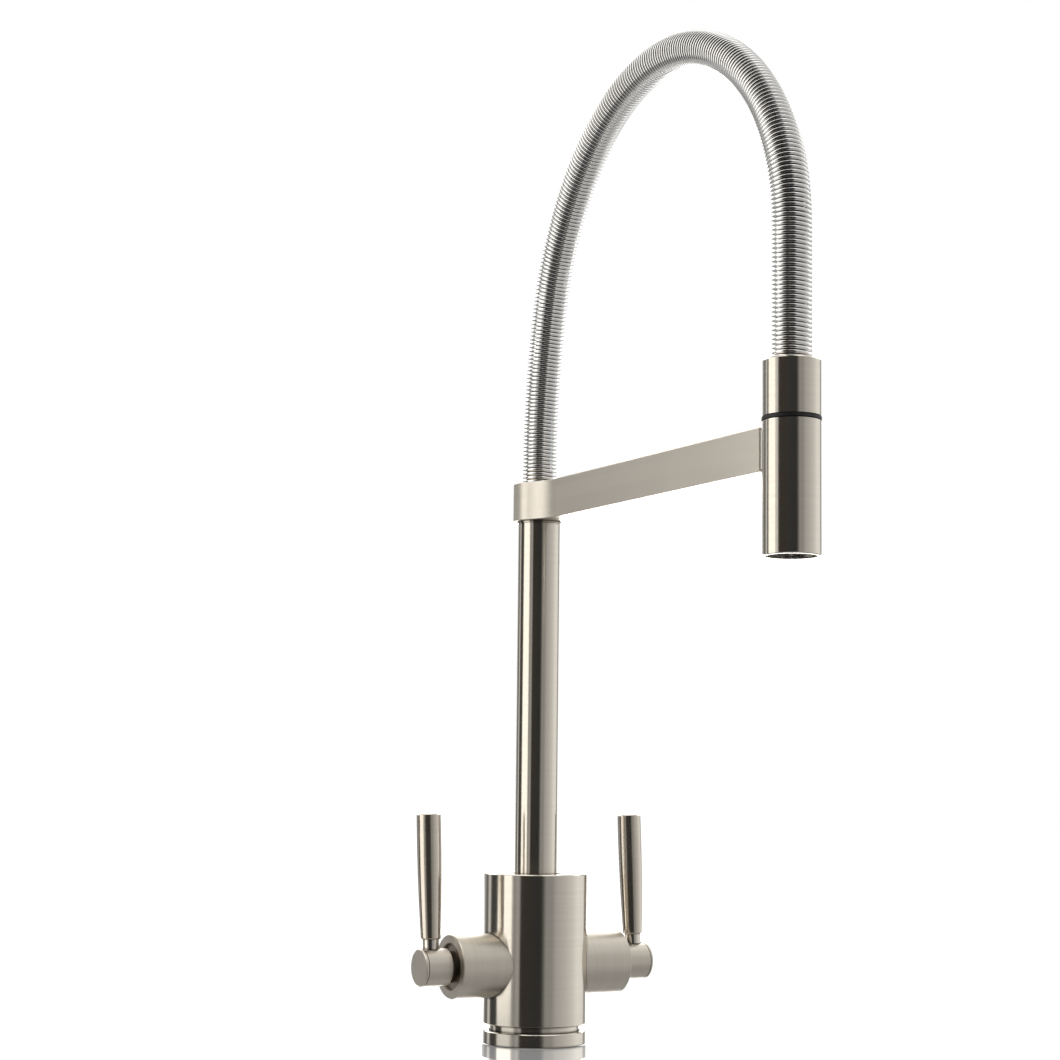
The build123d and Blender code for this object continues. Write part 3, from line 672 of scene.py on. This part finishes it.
def coil_centres():
    """The wire's centre line and the way out from it: close turns at both ends, even between."""
    per_turn = 26
    closed_turns, closed_pitch = 2.0, 2.02 * wire_radius
    closed_length = closed_turns * closed_pitch
    first, last = wire_radius, hose_length - wire_radius
    open_turns = round((last - first - 2 * closed_length) / coil_pitch)
    turns = np.arange(int((2 * closed_turns + open_turns) * per_turn) + 1) / per_turn
    marks = [0.0, closed_turns, closed_turns + open_turns, 2 * closed_turns + open_turns]
    places = [first, first + closed_length, last - closed_length, last]
    distance = np.interp(turns, marks, places)
    points, headings = along_hose(distance)
    angle = 2 * math.pi * turns
    radius = coil_radius - wire_radius
    toward = np.stack([np.zeros_like(headings), np.cos(headings), np.sin(headings)], axis=1)
    centre = np.stack([np.zeros_like(headings), -points[:, 0], points[:, 1]], axis=1)
    aside = np.array([[1.0, 0.0, 0.0]])
    outward = np.cos(angle)[:, None] * toward + np.sin(angle)[:, None] * aside
    return centre + radius * outward, outward


wire_line, wire_outward = coil_centres()
wire_way = np.gradient(wire_line, axis=0)
wire_way /= np.linalg.norm(wire_way, axis=1, keepdims=True)
coil = tube_mesh("spring_coil", wire_line, wire_outward, np.cross(wire_way, wire_outward),
                 wire_radius, sides=8)


def spring_wire():
    """Drawn stainless wire: bright, with faint draw marks and a darker stain here and there."""
    material, tree, shader = shader_of("spring_wire")
    stain = placed(tree, handling, Patches_Per_Metre=45.0)
    drawn = placed(tree, brushing, Lines_Along_X=2500.0, Lines_Along_Y=2500.0, Lines_Along_Z=2500.0)
    metal = mixed(tree, drawn.outputs["Lines"], (0.78, 0.77, 0.75), (0.88, 0.87, 0.85))
    stain_share = ranged(tree, stain.outputs["Patches"], 0.0, 0.15)
    tree.links.new(mixed(tree, stain_share, metal, (0.55, 0.54, 0.52)), shader.inputs["Base Color"])
    shader.inputs["Metallic"].default_value = 1.0
    tree.links.new(ranged(tree, drawn.outputs["Lines"], 0.05, 0.13), shader.inputs["Roughness"])
    return material


coil.data.materials.append(spring_wire())
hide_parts("hose_spring")
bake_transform(coil)

# ---- Hose and its fittings ----------------------------------------------------------------------
# A reinforced rubber hose runs inside the spring. Crimped brass sleeves close it on its barbs, and
# brass washers take the ends of the spring.
hose_radius = 5.5 * MM
hose_rings = 260
hose_points, hose_headings = along_hose(np.linspace(0.0, hose_length, hose_rings))
on_axis = np.zeros(hose_rings)
hose_centres = np.stack([on_axis, -hose_points[:, 0], hose_points[:, 1]], axis=1)
hose_outward = np.stack([on_axis, np.cos(hose_headings), np.sin(hose_headings)], axis=1)
hose_aside = np.tile([1.0, 0.0, 0.0], (hose_rings, 1))
hose = tube_mesh("rubber_hose", hose_centres, hose_outward, hose_aside, hose_radius, sides=32)
hose.data.materials.append(black_rubber("hose_rubber", 0.035, 0.48))
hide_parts("inner_hose")
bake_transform(hose)
finish_in(brass, "spring_seat", "top_spring_seat", "hose_nipple", "lower_ferrule", "upper_ferrule",
          "hose_coupling", "head_plug")

# ---- Sleeve and slip ring -----------------------------------------------------------------------
# The turned sleeve that the spring goes into, and the black acetal ring that the head turns on.
acetal = fine_solid("black_acetal", (0.004, 0.004, 0.004), (0.009, 0.009, 0.009), 0.50, 1600.0)
finish_in(turned_nickel, "upper_sleeve")
finish_in(acetal, "slip_ring")
finish_in(screw_steel, "coupling_clip")

# ---- Spray head ---------------------------------------------------------------------------------
# A drawn and brushed tube round a moulded waterway, with a castellated chrome outlet ring, a grey
# screen and a stack of flow rings set up inside its lower end.
outlet_chrome = fine_solid("outlet_chrome", (0.62, 0.62, 0.61), (0.74, 0.74, 0.73), 0.12, 800.0,
                           metallic=1.0)
grey_acetal = fine_solid("grey_acetal", (0.05, 0.05, 0.052), (0.10, 0.10, 0.105), 0.42, 1100.0)
finish_in(turned_nickel, "head_shell")
finish_in(outlet_chrome, "aerator_housing")
finish_in(grey_acetal, "aerator_screen", "flow_straightener", "waterway")
finish_in(nylon, "check_valve")
